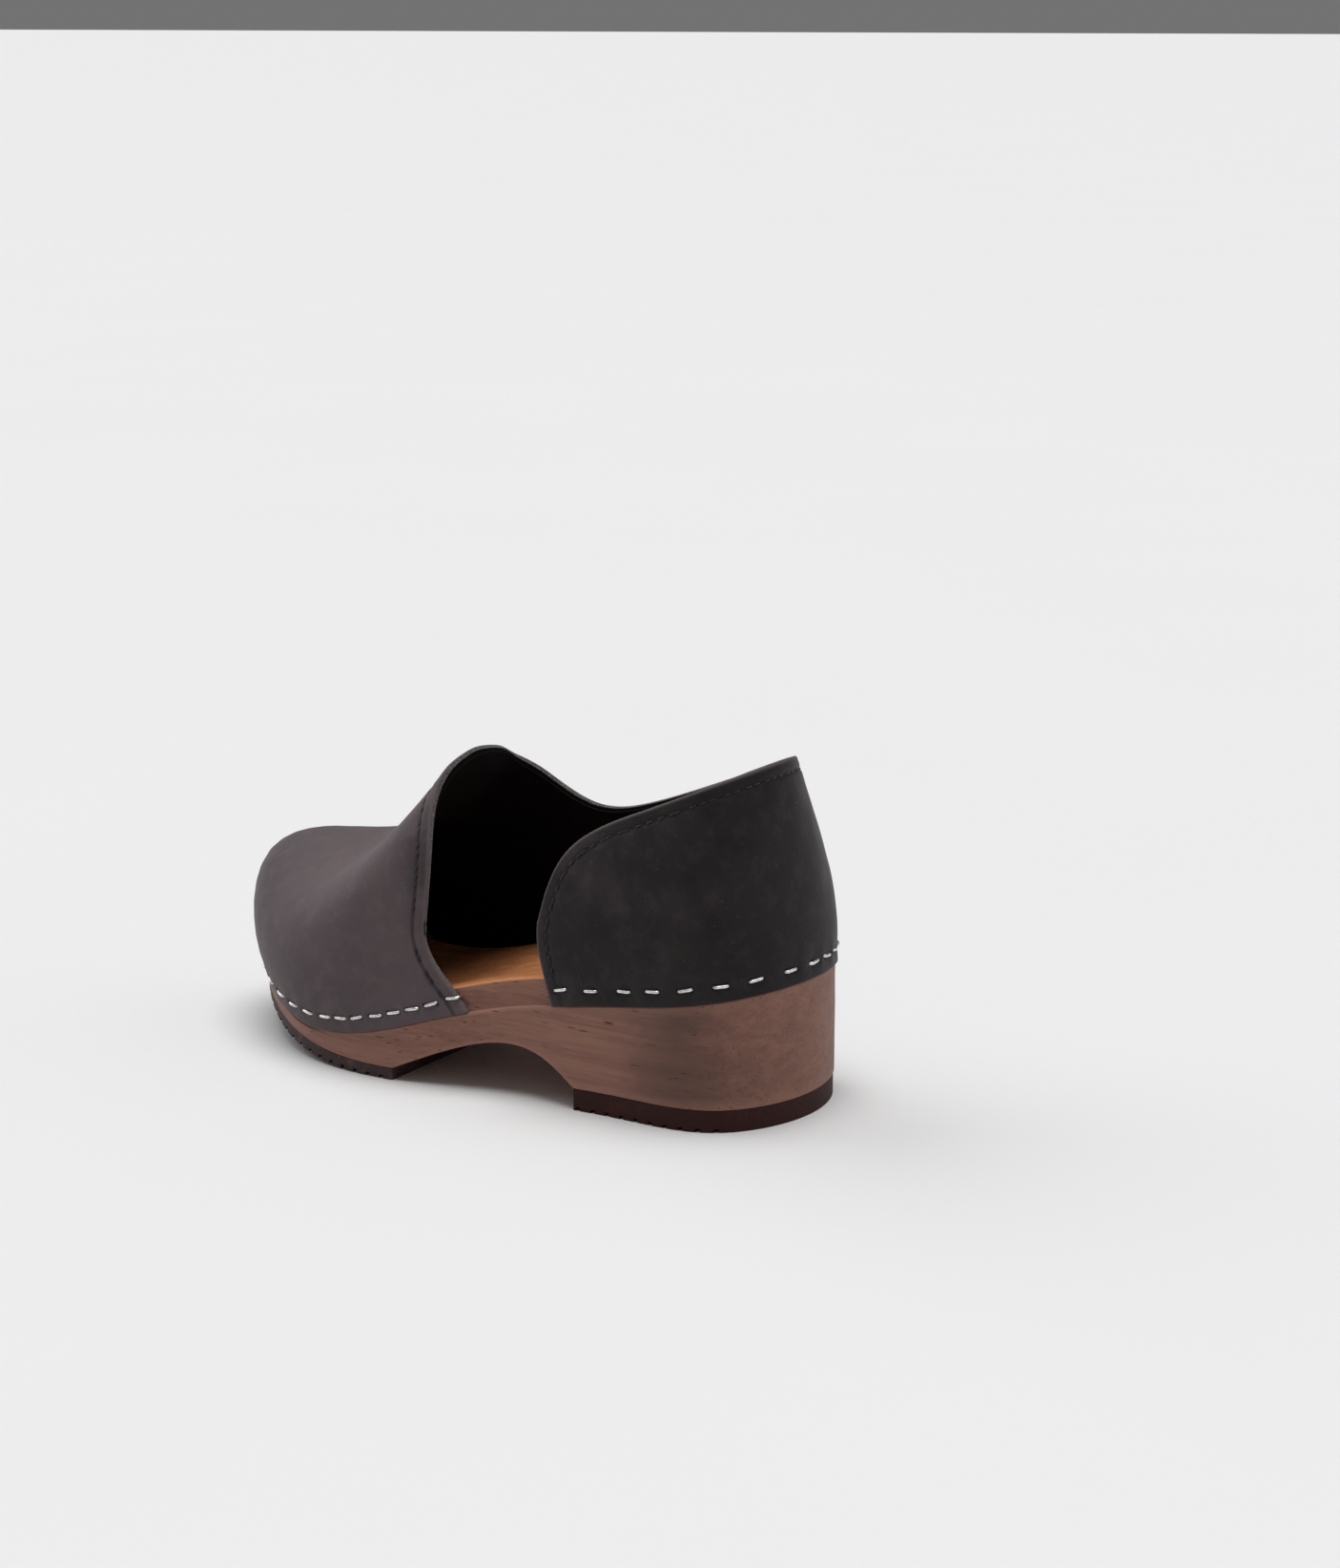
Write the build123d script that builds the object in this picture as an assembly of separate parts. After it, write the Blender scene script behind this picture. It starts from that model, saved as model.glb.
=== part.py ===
from build123d import *
import os

import numpy as np

# Closed-back wooden clog, left foot. While it is modelled, x runs from the back of the heel to the toe,
# y is positive on the outer side of the foot and z is the height above the ground. The finished pieces
# are moved so that the origin is under the middle of the clog's box. All sizes are in millimetres.

# ---- overall ----
SOLE_LENGTH = 249.0         # from heel to toe, outside the leather's lower edge
SOLE_WIDTH = 97.0           # at the widest part of the forefoot
LONG = SOLE_LENGTH / 249.0  # the places below are drawn for a sole of 249 by 97,
WIDE = SOLE_WIDTH / 97.0    # and stretch with it

# ---- wood sole ----
RABBET_HEIGHT = 10.0        # wall that the leather is stapled to, from the ledge up to the footbed
FOOTBED_DISH = 3.5          # how far the middle of the footbed lies below its rim
DISH_MIDDLE = 122.0 * LONG  # where the dish is centred along the sole
DISH_HALF_LENGTH = 104.0 * LONG
DISH_HALF_WIDTH = 36.0 * WIDE
HEEL_FRONT = 75.0 * LONG    # where the heel block ends and the arch begins
FOREFOOT_REAR = 150.0 * LONG    # where the arch ends and the forefoot's outsole begins
ARCH_CREST = 101.0 * LONG   # where the arch is highest
ARCH_RISE = 19.4            # its top above the ground
ARCH_REAR = (84.0 * LONG, 14.2)     # points on the arch behind and ahead of its top
ARCH_FORE = (128.0 * LONG, 14.0)

# ---- leather upper ----
LEATHER = 3.0               # thickness of the upper
LEATHER_PROUD = 1.0         # the leather stands this far outside the wood wall
FIT = 0.3                   # clearance between the leather and the rabbet wall
SEAT = 0.05                 # clearance between the leather's lower edge and the ledge
GLUE = 0.1                  # glue line between layers

# ---- inner pieces ----
TAPE_WIDTH = 9.0            # strip inside the opening's edge
TAPE_INSET = 0.8            # from the leather's edge
TAPE = 0.8                  # its thickness
TAPE_STEP = 6.0             # between the places that draw it
TAPE_MARGIN = 9.0           # left free at each end
STIFFENER = 1.2             # thickness of the heel counter and the toe puff

# ---- thread and staples ----
STITCH_INSET = 4.8          # seam to leather edge
STITCH_PITCH = 4.2
STITCH_LENGTH = 3.0
THREAD = 0.8
THREAD_CLEAR = 0.15         # lift of the straight stitches off the curved leather
STAPLE_HEIGHT = 5.6         # crown above the leather's lower edge
STAPLE_CROWN = 5.0
STAPLE_WIRE = 1.2
STAPLE_LEG = 9.0
STAPLE_LIFT = 0.2           # middle of the crown's wire above the leather's face
STAPLE_PITCH = 10.0         # of the row on the inner side
VAMP_STAPLES = [2, 11, 19, 27, 35, 44, 52, 60, 70, 80, 91, 103, 116]    # forwards from the vamp's corner
QUARTER_STAPLES = [6, 19, 33, 45, 58, 71, 84, 99, 112]      # backwards from the quarter's corner

# ---- outsoles and their nails ----
HEEL_RUBBER = 8.0
FOREFOOT_RUBBER = 4.5
RUBBER_INSET = 0.4          # outsole edge inside the wood wall
GROOVE_PITCH = 6.0
GROOVE_WIDTH = 1.8
GROOVE_DEPTH = 1.3
HEEL_GROOVES = (16.0 * LONG, 73.0 * LONG)       # first and last part of each grooved stretch
FOREFOOT_GROOVES = (152.0 * LONG, 245.0 * LONG)
NAIL_SHANK = 1.0            # radius
NAIL_HEAD = 2.0             # radius
NAIL_HEAD_THICKNESS = 1.2
NAIL_GRIP = 9.0             # length in the wood
NAIL_SUNK = 1.6             # head below the outsole's lower face
HEEL_NAILS = [(14, 18), (14, -18), (40, 28), (40, -27), (60, 0)]
FOREFOOT_NAILS = [(160, 30), (160, -28), (186, 28), (186, -30), (212, 14), (212, -32), (230, -8)]

# ---- cutting solids ----
SIDE_REACH = 80.0 * WIDE    # half their width
BACK, FRONT = -12.0, 262.0 * LONG   # their ends, beyond the heel and the toe
TALL = 90.0                 # above every point of the wood

# Height above the ground of the ledge that carries the leather, from heel to toe.
LEDGE = [(0, 50.5), (50, 42.3), (100, 34.0), (130, 26.3), (160, 17.2), (190, 13.6), (222, 18.8), (249, 27.0)]

# Lower face of the forefoot's outsole: it touches the ground at the ball and springs up to the toe.
FOREFOOT_SPRING = [(148, 0.0), (160, 0.0), (180, 1.2), (200, 4.0), (220, 8.2), (249, 17.0)]

# The leather is one surface, drawn by upright lines round the foot: foot of the line on the ledge (x, y),
# then four guide points (x, y, z), the last of which lies on the edge of the opening. The list starts at
# the rear corner of the vamp, on the outer side, and goes round the toe and the heel to the front corner
# of the quarter.
UPPER = [
    ((119, 44.5), (124, 45.3, 38), (131, 45.5, 43), (137, 45.3, 50), (137, 44.3, 60)),
    ((150, 49.5), (151, 52, 34), (150.5, 49.5, 49), (148.5, 46.5, 66), (138, 40, 83)),
    ((190, 45.5), (194, 50.5, 37), (184, 50, 59), (164, 38, 78), (143.5, 26, 108)),
    ((225, 24), (235.5, 32.5, 53), (215, 29.5, 75), (170.5, 17.5, 58), (142, 11, 117)),
    ((248, -11), (260.5, -10.5, 72), (239.5, -8.5, 93), (167, -2.5, 50), (140.5, 1, 118)),
    ((237, -37), (246.5, -44, 57), (224, -35, 80), (170, -19, 57), (141, -9, 116)),
    ((205, -47.5), (209, -53.5, 41.5), (198, -49.5, 67), (166, -35.5, 73), (141.5, -20, 111)),
    ((160, -46), (160.5, -49, 38.5), (157, -48.5, 59), (149.5, -41.5, 79), (134, -30, 103.5)),
    ((120, -38.5), (120, -40.5, 46), (119, -41, 62), (117, -39, 78), (112, -34.5, 92)),
    ((85, -36.5), (85, -38.5, 52), (85, -39, 67), (85, -38, 82), (85, -34.5, 97)),
    ((50, -41.5), (50, -43, 60), (50.5, -41.5, 78), (51.5, -37.5, 94), (52.5, -32, 110)),
    ((17, -38.5), (17, -39, 66), (19, -37, 85), (23.5, -30.5, 104), (27, -24, 121)),
    ((0, -1), (-0.5, -1, 68), (1.5, -0.5, 88), (7, 0, 108), (12, 0, 127.5)),
    ((18, 37.5), (17.5, 38.5, 66), (18, 37, 86), (20, 33, 105), (21.5, 28, 123.5)),
    ((50, 43), (50, 44, 60), (50.5, 43, 78), (51, 40, 94), (52, 35, 110.3)),
    ((70, 43), (71.5, 44, 54), (76, 43, 67), (80, 41, 79), (82, 38, 91)),
    ((84, 42.5), (86, 42.7, 44), (88.5, 42.8, 51), (91, 42.2, 58), (91, 41, 66)),
]
GAP_RIM = (101, 41.8)       # the sole's edge between the vamp and the quarter, where no leather is
GAP_STEP = 35.0             # how far apart the first and the last line count as lying there
NORMAL_MARGIN = 5.0         # the leather's slant at its ends is taken this far in, in the same measure


def cubic_through(knots, values):
    """Smooth curve with free ends that passes through the values at the knots."""
    knots = np.asarray(knots, float)
    values = np.asarray(values, float)
    steps = np.diff(knots)
    size = len(knots)
    matrix = np.eye(size)
    right = np.zeros_like(values)
    for i in range(1, size - 1):
        matrix[i, i - 1:i + 2] = steps[i - 1], 2 * (steps[i - 1] + steps[i]), steps[i]
        right[i] = 6 * ((values[i + 1] - values[i]) / steps[i] - (values[i] - values[i - 1]) / steps[i - 1])
    bend = np.linalg.solve(matrix, right)

    def curve(at):
        i = int(np.clip(np.searchsorted(knots, at) - 1, 0, size - 2))
        a, b, h = knots[i + 1] - at, at - knots[i], steps[i]
        return ((bend[i] * a ** 3 + bend[i + 1] * b ** 3) / (6 * h)
                + (values[i] / h - bend[i] * h / 6) * a + (values[i + 1] / h - bend[i + 1] * h / 6) * b)

    return curve


def stretched(place):
    """A drawn place at the sole's length and width."""
    return np.array([place[0] * LONG, place[1] * WIDE, *place[2:]], float)


def stretched_curve(points):
    """Height as a function of x, through drawn points (x, z)."""
    return cubic_through([x * LONG for x, _ in points], [z for _, z in points])


ledge_height = stretched_curve(LEDGE)
spring_height = stretched_curve(FOREFOOT_SPRING)

drawn = [[stretched(place) for place in line] for line in UPPER]
rims = [line[0] for line in drawn]
tops = [line[-1] for line in drawn]
line_steps = [np.linalg.norm(rims[i + 1] - rims[i]) + np.linalg.norm(tops[i + 1] - tops[i])
              for i in range(len(UPPER) - 1)]
LINE_AT = np.r_[0, np.cumsum(line_steps)]       # where each line lies along the leather
END = LINE_AT[-1]

closed_rims = rims + [stretched(GAP_RIM)]
closed_at = np.r_[LINE_AT, END + GAP_STEP / 2]
period = END + GAP_STEP
outline_at = cubic_through(np.r_[closed_at[-3:] - period, closed_at, closed_at[:3] + period],
                           closed_rims[-3:] + closed_rims + closed_rims[:3])
guides_at = [cubic_through(LINE_AT, [line[i] for line in drawn]) for i in range(1, 5)]


def outward(at):
    """Unit vector in plan that points out of the sole's outline."""
    ahead = outline_at(at + 0.5) - outline_at(at - 0.5)
    return np.array([-ahead[1], ahead[0]]) / np.linalg.norm(ahead)


def outline(inset):
    """Closed wire of the plan outline, this far inside the leather's outer face."""
    places = np.linspace(0, period, 44, endpoint=False)
    points = [tuple(outline_at(at) - inset * outward(at)) for at in places]
    return Wire([Edge.make_spline([Vector(x, y, 0) for x, y in points], periodic=True)])


def leather(at, rise):
    """Point on the leather's outer face: place along it, and rise from 0 on the ledge to 1 at the top."""
    rim = outline_at(at)
    foot = np.array([rim[0], rim[1], ledge_height(rim[0]) + SEAT])
    guides = [foot] + [guide(at) for guide in guides_at]
    weights = [(1 - rise) ** 4, 4 * rise * (1 - rise) ** 3, 6 * rise ** 2 * (1 - rise) ** 2,
               4 * rise ** 3 * (1 - rise), rise ** 4]
    return sum(weight * guide for weight, guide in zip(weights, guides))


def leather_normal(at, rise):
    """Unit vector out of the leather, taken a little inside the edges."""
    at = np.clip(at, NORMAL_MARGIN, END - NORMAL_MARGIN)
    rise = np.clip(rise, 0.02, 0.95)
    along = leather(at + 0.5, rise) - leather(at - 0.5, rise)
    up = leather(at, rise + 0.01) - leather(at, rise - 0.01)
    normal = np.cross(up, along)
    return normal / np.linalg.norm(normal)


def sheet(columns, depth, thickness):
    """Curved sheet that follows the leather, from depth below its outer face inwards."""
    def face(below):
        grid = [[Vector(*(leather(at, rise) - below * leather_normal(at, rise))) for at, rise in column]
                for column in columns]
        return Face.make_surface_from_array_of_points(grid, tol=0.04)

    outer, inner = face(depth), face(depth + thickness)
    sides = []
    for edge in outer.edges():
        twin = min(inner.edges(), key=lambda other: (other @ 0.5 - edge @ 0.5).length)
        sides.append(Face.make_surface_from_curves(edge, twin))
    return Solid(Shell([outer, inner] + sides))


def side_region(points_below, points_above):
    """Solid between a lower and an upper side-view curve, across the whole width of the foot."""
    lower = Edge.make_spline([Vector(x, 0, z) for x, z in points_below])
    upper = Edge.make_spline([Vector(x, 0, z) for x, z in points_above])
    region = Face(Wire([lower, Edge.make_line(lower @ 1, upper @ 1), upper, Edge.make_line(upper @ 0, lower @ 0)]))
    return extrude(region, amount=SIDE_REACH, dir=(0, 1, 0), both=True)


def height_curve(height, start, end, lift=0.0):
    """Side-view points along a height function, lifted by a fixed amount."""
    return [(x, float(height(x)) + lift) for x in np.linspace(start, end, 16)]


def plan_prism(inset):
    """Upright solid on the sole's outline."""
    return extrude(Face(outline(inset)), amount=TALL, dir=(0, 0, 1))


def footbed_cutter():
    """Solid above the dished footbed."""
    rows = []
    for x in np.linspace(BACK, FRONT, 24):
        rim = float(ledge_height(x)) + RABBET_HEIGHT
        lengthwise = max(0.0, 1 - abs((x - DISH_MIDDLE) / DISH_HALF_LENGTH) ** 4)
        rows.append([Vector(x, y, rim - FOOTBED_DISH * lengthwise
                            * max(0.0, 1 - (y / DISH_HALF_WIDTH) ** 2) ** 1.5)
                     for y in np.linspace(-SIDE_REACH, SIDE_REACH, 33)])
    return extrude(Face.make_surface_from_array_of_points(rows, tol=0.02), amount=TALL, dir=(0, 0, 1))


def arch_cutter():
    """Solid under the arch, from the heel's front to the rear of the forefoot's outsole."""
    points = [(HEEL_FRONT, HEEL_RUBBER), ARCH_REAR, (ARCH_CREST, ARCH_RISE), ARCH_FORE,
              (FOREFOOT_REAR, FOREFOOT_RUBBER)]
    crown = Edge.make_spline([Vector(x, 0, z) for x, z in points])
    floor = [crown @ 1, Vector(FOREFOOT_REAR, 0, -5), Vector(HEEL_FRONT, 0, -5), crown @ 0]
    lines = [Edge.make_line(a, b) for a, b in zip(floor, floor[1:])]
    return extrude(Face(Wire([crown] + lines)), amount=SIDE_REACH, dir=(0, 1, 0), both=True)


def heel_zone(low, high):
    """Block over the heel block's ground plan, between two heights."""
    return Pos((BACK + HEEL_FRONT) / 2, 0, (low + high) / 2) * Box(HEEL_FRONT - BACK, 2 * SIDE_REACH, high - low)


def make_wood():
    """Sole carved from one block: side wall, ledge, rabbet wall, dished footbed, arch and toe spring."""
    under = height_curve(spring_height, FOREFOOT_REAR - 2, FRONT, FOREFOOT_RUBBER)
    above = [(BACK, 2 * TALL), (FRONT, 2 * TALL)]
    block = plan_prism(LEATHER_PROUD) - side_region(height_curve(ledge_height, BACK, FRONT), above)
    raised = plan_prism(LEATHER + FIT) - footbed_cutter()
    wood = block + raised
    wood -= heel_zone(-1, HEEL_RUBBER)
    wood -= arch_cutter()
    wood -= side_region([(FOREFOOT_REAR - 2, -9), (FRONT, -9)], under)
    return wood


def tread_grooves(stretch, floor_height):
    """Cross grooves in the lower face of an outsole."""
    centres = np.arange(*stretch, GROOVE_PITCH) + GROOVE_PITCH / 2
    return [Pos(x, 0, float(floor_height(x))) * Box(GROOVE_WIDTH, 2 * SIDE_REACH, 2 * GROOVE_DEPTH)
            for x in centres]


def flat_ground(x):
    """Height of the heel outsole's lower face."""
    return 0.0


def make_heel_outsole():
    outsole = plan_prism(LEATHER_PROUD + RUBBER_INSET) & heel_zone(0, HEEL_RUBBER)
    return outsole - tread_grooves(HEEL_GROOVES, flat_ground)


def make_forefoot_outsole():
    layer = side_region(height_curve(spring_height, FOREFOOT_REAR, FRONT),
                        height_curve(spring_height, FOREFOOT_REAR, FRONT, FOREFOOT_RUBBER))
    outsole = plan_prism(LEATHER_PROUD + RUBBER_INSET) & layer
    return outsole - tread_grooves(FOREFOOT_GROOVES, spring_height)


def nail(place, floor_height, rubber):
    """Flat-headed nail driven up through the outsole into the wood."""
    x, y = stretched(place)
    head_low = float(floor_height(x)) + NAIL_SUNK
    length = rubber - NAIL_SUNK + NAIL_GRIP
    head = Pos(x, y, head_low + NAIL_HEAD_THICKNESS / 2) * Cylinder(NAIL_HEAD, NAIL_HEAD_THICKNESS)
    shank = Pos(x, y, head_low + length / 2) * Cylinder(NAIL_SHANK, length)
    return head + shank


def nail_hole(place, floor_height):
    """Open recess below a nail's head."""
    x, y = stretched(place)
    return Pos(x, y, float(floor_height(x))) * Cylinder(NAIL_HEAD, 2 * NAIL_SUNK)


def frame_on_leather(at, rise, sideways):
    """Plane on the leather whose x runs along the edge and whose z points out of the leather."""
    origin = leather(at, rise)
    normal = leather_normal(at, rise)
    return Plane(origin=Vector(*origin), x_dir=Vector(*sideways), z_dir=Vector(*normal))


def staple_rise(at):
    """Rise at which the staples sit, at this place along the leather."""
    rises = np.linspace(0, 0.5, 20)
    return float(np.interp(STAPLE_HEIGHT, [leather(at, rise)[2] - leather(at, 0)[2] for rise in rises], rises))


def staple(at):
    """Wire staple: a crown on the leather and two legs through it into the rabbet wall."""
    rise = staple_rise(at)
    along = leather(at + 0.5, rise) - leather(at - 0.5, rise)
    flat = np.array([*outward(at), 0.0])
    along -= np.dot(along, flat) * flat
    place = Plane(origin=Vector(*leather(at, rise)), x_dir=Vector(*along), z_dir=Vector(*flat))
    reach = STAPLE_CROWN / 2
    crown = Pos(0, 0, STAPLE_LIFT) * Rot(0, 90, 0) * Cylinder(STAPLE_WIRE / 2, STAPLE_CROWN)
    legs = [Pos(side * reach, 0, STAPLE_LIFT - STAPLE_LEG / 2) * Cylinder(STAPLE_WIRE / 2, STAPLE_LEG)
            for side in (-1, 1)]
    corners = [Pos(side * reach, 0, STAPLE_LIFT) * Sphere(STAPLE_WIRE / 2) for side in (-1, 1)]
    return place * (crown + legs + corners)


def staple_rows():
    """The three rows of staples, placed along one line from the vamp's corner to the quarter's."""
    dense = np.linspace(0, END, 400)
    points = np.array([leather(at, staple_rise(at)) for at in dense])
    run = np.r_[0, np.cumsum(np.linalg.norm(np.diff(points, axis=0), axis=1))]
    quarter = [run[-1] - distance for distance in QUARTER_STAPLES]
    start, stop = VAMP_STAPLES[-1], quarter[-1]
    count = round((stop - start) / STAPLE_PITCH)
    medial = [start + (stop - start) * i / count for i in range(1, count)]
    return [[staple(float(np.interp(distance, run, dense))) for distance in row]
            for row in (VAMP_STAPLES, medial, quarter)]


def opening_edge():
    """Places (at, rise) along the opening's edge, from the vamp's corner to the quarter's corner."""
    vamp = [(0.0, rise) for rise in np.linspace(0.16, 1, 12)]
    top = [(at, 1.0) for at in np.linspace(0, END, 240)[1:-1]]
    quarter = [(END, rise) for rise in np.linspace(1, 0.2, 12)]
    return vamp + top + quarter


def settle(target, at, rise):
    """Place on the leather's outer face that is nearest to a target point."""
    for _ in range(6):
        here = leather(at, rise)
        moves = np.array([leather(at + 0.1, rise) - here, leather(at, rise + 0.001) - here]).T
        step = np.linalg.lstsq(moves, target - here, rcond=0.02)[0]
        at = float(np.clip(at + 0.1 * step[0], 0, END))
        rise = float(np.clip(rise + 0.001 * step[1], 0, 1))
    return at, rise


def along_edge(inset, pitch, margin):
    """Places at this inset from the opening's edge and this pitch along it, with the edge's direction."""
    places = opening_edge()
    points = np.array([leather(at, rise) for at, rise in places])
    run = np.r_[0, np.cumsum(np.linalg.norm(np.diff(points, axis=0), axis=1))]
    found = []
    for s in np.arange(margin, run[-1] - margin, pitch):
        i = int(np.searchsorted(run, s))
        at, rise = places[i]
        along = points[min(i + 1, len(points) - 1)] - points[i - 1]
        along /= np.linalg.norm(along)
        inward = np.cross(leather_normal(at, rise), along)
        found.append((settle(points[i] + inset * inward, at, rise), along))
    return found


def stitches():
    """Visible lengths of thread along the opening's edge."""
    row = []
    for (at, rise), along in along_edge(STITCH_INSET, STITCH_PITCH, STITCH_PITCH):
        place = frame_on_leather(at, rise, along)
        row.append(place * Pos(0, 0, THREAD / 2 + THREAD_CLEAR) * Rot(0, 90, 0)
                   * Cylinder(THREAD / 2, STITCH_LENGTH))
    return row


def patch(first, last, low, high, count):
    """Columns of places between two of the leather's lines."""
    return [[(at, rise) for rise in np.linspace(low, high, 9)] for at in np.linspace(first, last, count)]


def make_upper():
    return sheet(patch(0, END, 0, 1, 56), 0, LEATHER)


def make_tape():
    """Reinforcing strip behind the seam."""
    rows = [along_edge(TAPE_INSET + inset, TAPE_STEP, TAPE_MARGIN) for inset in np.linspace(0, TAPE_WIDTH, 5)]
    columns = [[place for place, _ in column] for column in zip(*rows)]
    return sheet(columns, LEATHER + GLUE, TAPE)


def make_counter():
    """Stiffener round the back of the heel."""
    return sheet(patch(LINE_AT[9], LINE_AT[14], 0.24, 0.78, 24), LEATHER + GLUE, STIFFENER)


def make_toe_puff():
    """Stiffener inside the toe."""
    return sheet(patch(LINE_AT[3] - 10, LINE_AT[5] + 16, 0.18, 0.42, 20), LEATHER + GLUE, STIFFENER)


nails_heel = [nail(place, flat_ground, HEEL_RUBBER) for place in HEEL_NAILS]
nails_forefoot = [nail(place, spring_height, FOREFOOT_RUBBER) for place in FOREFOOT_NAILS]
recess_heel = [nail_hole(place, flat_ground) for place in HEEL_NAILS]
recess_forefoot = [nail_hole(place, spring_height) for place in FOREFOOT_NAILS]
vamp_staples, medial_staples, quarter_staples = staple_rows()
all_staples = vamp_staples + medial_staples + quarter_staples

nodes = {
    "wood_sole": [make_wood() - nails_heel - nails_forefoot - all_staples],
    "upper_leather": [make_upper() - all_staples],
    "topline_tape": [make_tape()],
    "heel_counter": [make_counter()],
    "toe_puff": [make_toe_puff()],
    "topline_stitching": stitches(),
    "vamp_staples": vamp_staples,
    "medial_staples": medial_staples,
    "quarter_staples": quarter_staples,
    "forefoot_outsole": [make_forefoot_outsole() - nails_forefoot - recess_forefoot],
    "heel_outsole": [make_heel_outsole() - nails_heel - recess_heel],
    "forefoot_outsole_nails": nails_forefoot,
    "heel_outsole_nails": nails_heel,
}

box = Compound([solid for pieces in nodes.values() for piece in pieces for solid in piece.solids()]).bounding_box()
to_frame = Location((-box.center().X, -box.center().Y, -box.min.Z))
os.makedirs("parts", exist_ok=True)
for name, pieces in nodes.items():
    solids = [solid.moved(to_frame) for piece in pieces for solid in piece.solids()]
    export_step(Compound(solids), f"parts/{name}.step")
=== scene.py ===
import math

import bmesh
import bpy
import numpy as np
from mathutils import Matrix, Vector, kdtree, noise


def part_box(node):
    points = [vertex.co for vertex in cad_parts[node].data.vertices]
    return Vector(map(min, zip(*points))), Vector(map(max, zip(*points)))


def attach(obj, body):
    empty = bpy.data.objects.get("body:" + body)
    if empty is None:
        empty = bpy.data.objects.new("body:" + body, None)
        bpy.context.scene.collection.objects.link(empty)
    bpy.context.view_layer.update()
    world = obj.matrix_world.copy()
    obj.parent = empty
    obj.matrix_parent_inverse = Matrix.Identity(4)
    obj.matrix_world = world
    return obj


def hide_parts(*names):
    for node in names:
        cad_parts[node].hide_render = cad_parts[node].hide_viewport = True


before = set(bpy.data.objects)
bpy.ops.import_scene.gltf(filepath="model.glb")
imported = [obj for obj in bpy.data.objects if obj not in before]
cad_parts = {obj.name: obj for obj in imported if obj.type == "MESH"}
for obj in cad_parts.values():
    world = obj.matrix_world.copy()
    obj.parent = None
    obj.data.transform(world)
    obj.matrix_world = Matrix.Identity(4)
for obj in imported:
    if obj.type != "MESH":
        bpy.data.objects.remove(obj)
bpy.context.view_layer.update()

# A closed-back wooden clog for the left foot: a carved wood sole, a thick nubuck upper stapled into the
# sole's rabbet and open on the outer side, a black seam round the opening, and rubber outsoles.
# The shapes are worked out in millimetres, with x from the back of the heel to the toe, y positive on the
# outer side and z above the ground. SHIFT brings them into the frame, in metres.

MM = 0.001

# ---- wood sole ----
RABBET_HEIGHT = 10.0        # wall that the leather is stapled to, from the ledge up to the footbed
FOOTBED_DISH = 3.5          # depth of the footbed's hollow
DISH_MIDDLE = (122.0, 0.0)
DISH_HALF = (104.0, 36.0)   # half length and half width of the hollow
HEEL_FRONT = 75.0
FOREFOOT_REAR = 150.0
ARCH_CROWN = [(75, 8.0), (84, 14.2), (101, 19.4), (128, 14.0), (150, 4.5)]     # (x, z) of the arch
HEEL_RUBBER = 8.0
FOREFOOT_RUBBER = 4.5
SOFT_EDGE = 0.9             # rounding of the wood's outer edges
RIM_EDGE = 0.7              # rounding of the footbed's rim
CARVING = 0.10              # how far the wood's wall wanders from its true outline
CARVING_LENGTH = (18.0, 11.0)   # length of that wandering along the sole and up the wall

# ---- leather upper ----
LEATHER = 3.0               # thickness
LEATHER_PROUD = 1.0         # how far the leather stands out past the wood
FIT = 0.3                   # gap between the leather and the rabbet's wall
SEAT = 0.05                 # gap between the leather and the ledge
CUT_EDGE = 0.9              # rounding of the leather's cut edges
CREASE = 0.4                # height of the slight creases
CREASE_LENGTHS = (26.0, 9.0)    # broad creases, and the finer ones on them
FINE_SHARE = 0.4            # height of the finer creases, as a share of the broad ones
CREASE_START = 8.0          # the creases fade in over this height above the ledge

# ---- thread ----
STITCH_INSET = 4.8          # from the opening's edge to the seam
STITCH_PITCH = 4.2
STITCH_LENGTH = 2.9
STITCH_PROUD = 0.15         # a stitch's middle above the floor of the seam's groove
STITCH_DIP = 0.35           # how far a stitch's ends dip
THREAD = 0.85
SEAM_DEPTH = 0.45
SEAM_WIDTH = 0.8
SEAM_START = 6.0            # the groove starts this far above the ledge, and is full at twice that

# ---- staples ----
STAPLE_HEIGHT = 5.6         # above the ledge
STAPLE_CROWN = 5.0
STAPLE_WIRE = 1.2
STAPLE_LEG = 4.0
STAPLE_BEND = 1.15          # bend radius between crown and leg
STAPLE_PITCH = 10.0         # spacing of the inner row
STAPLE_TILT = 0.09          # a staple is out of line by up to this angle
TILT_SPREAD = 7.3           # makes that angle differ from one staple to the next
STAPLE_SUNK = 0.12          # the crown's middle lies this far inside the leather's face
PIT_REACH = 2.45            # from a staple's middle to the pit at each end
PIT_SIZE = 0.85
PIT_DEPTH = 0.9
PULL_DEPTH = 0.45           # how far a staple pulls the leather in
PULL_SIZE = 4.2
PULL_LIMIT = 14.0           # the leather further away than this isn't pulled
INNER_PULL = 0.5            # share of the pull that reaches the leather's inner face

# ---- heights along the sole, as (x, z) ----
LEDGE = [(0, 50.5), (50, 42.3), (100, 34.0), (130, 26.3), (160, 17.2), (190, 13.6), (222, 18.8),
         (249, 27.0)]
FOREFOOT_SPRING = [(148, 0.0), (160, 0.0), (180, 1.2), (200, 4.0), (220, 8.2), (249, 17.0)]

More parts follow.
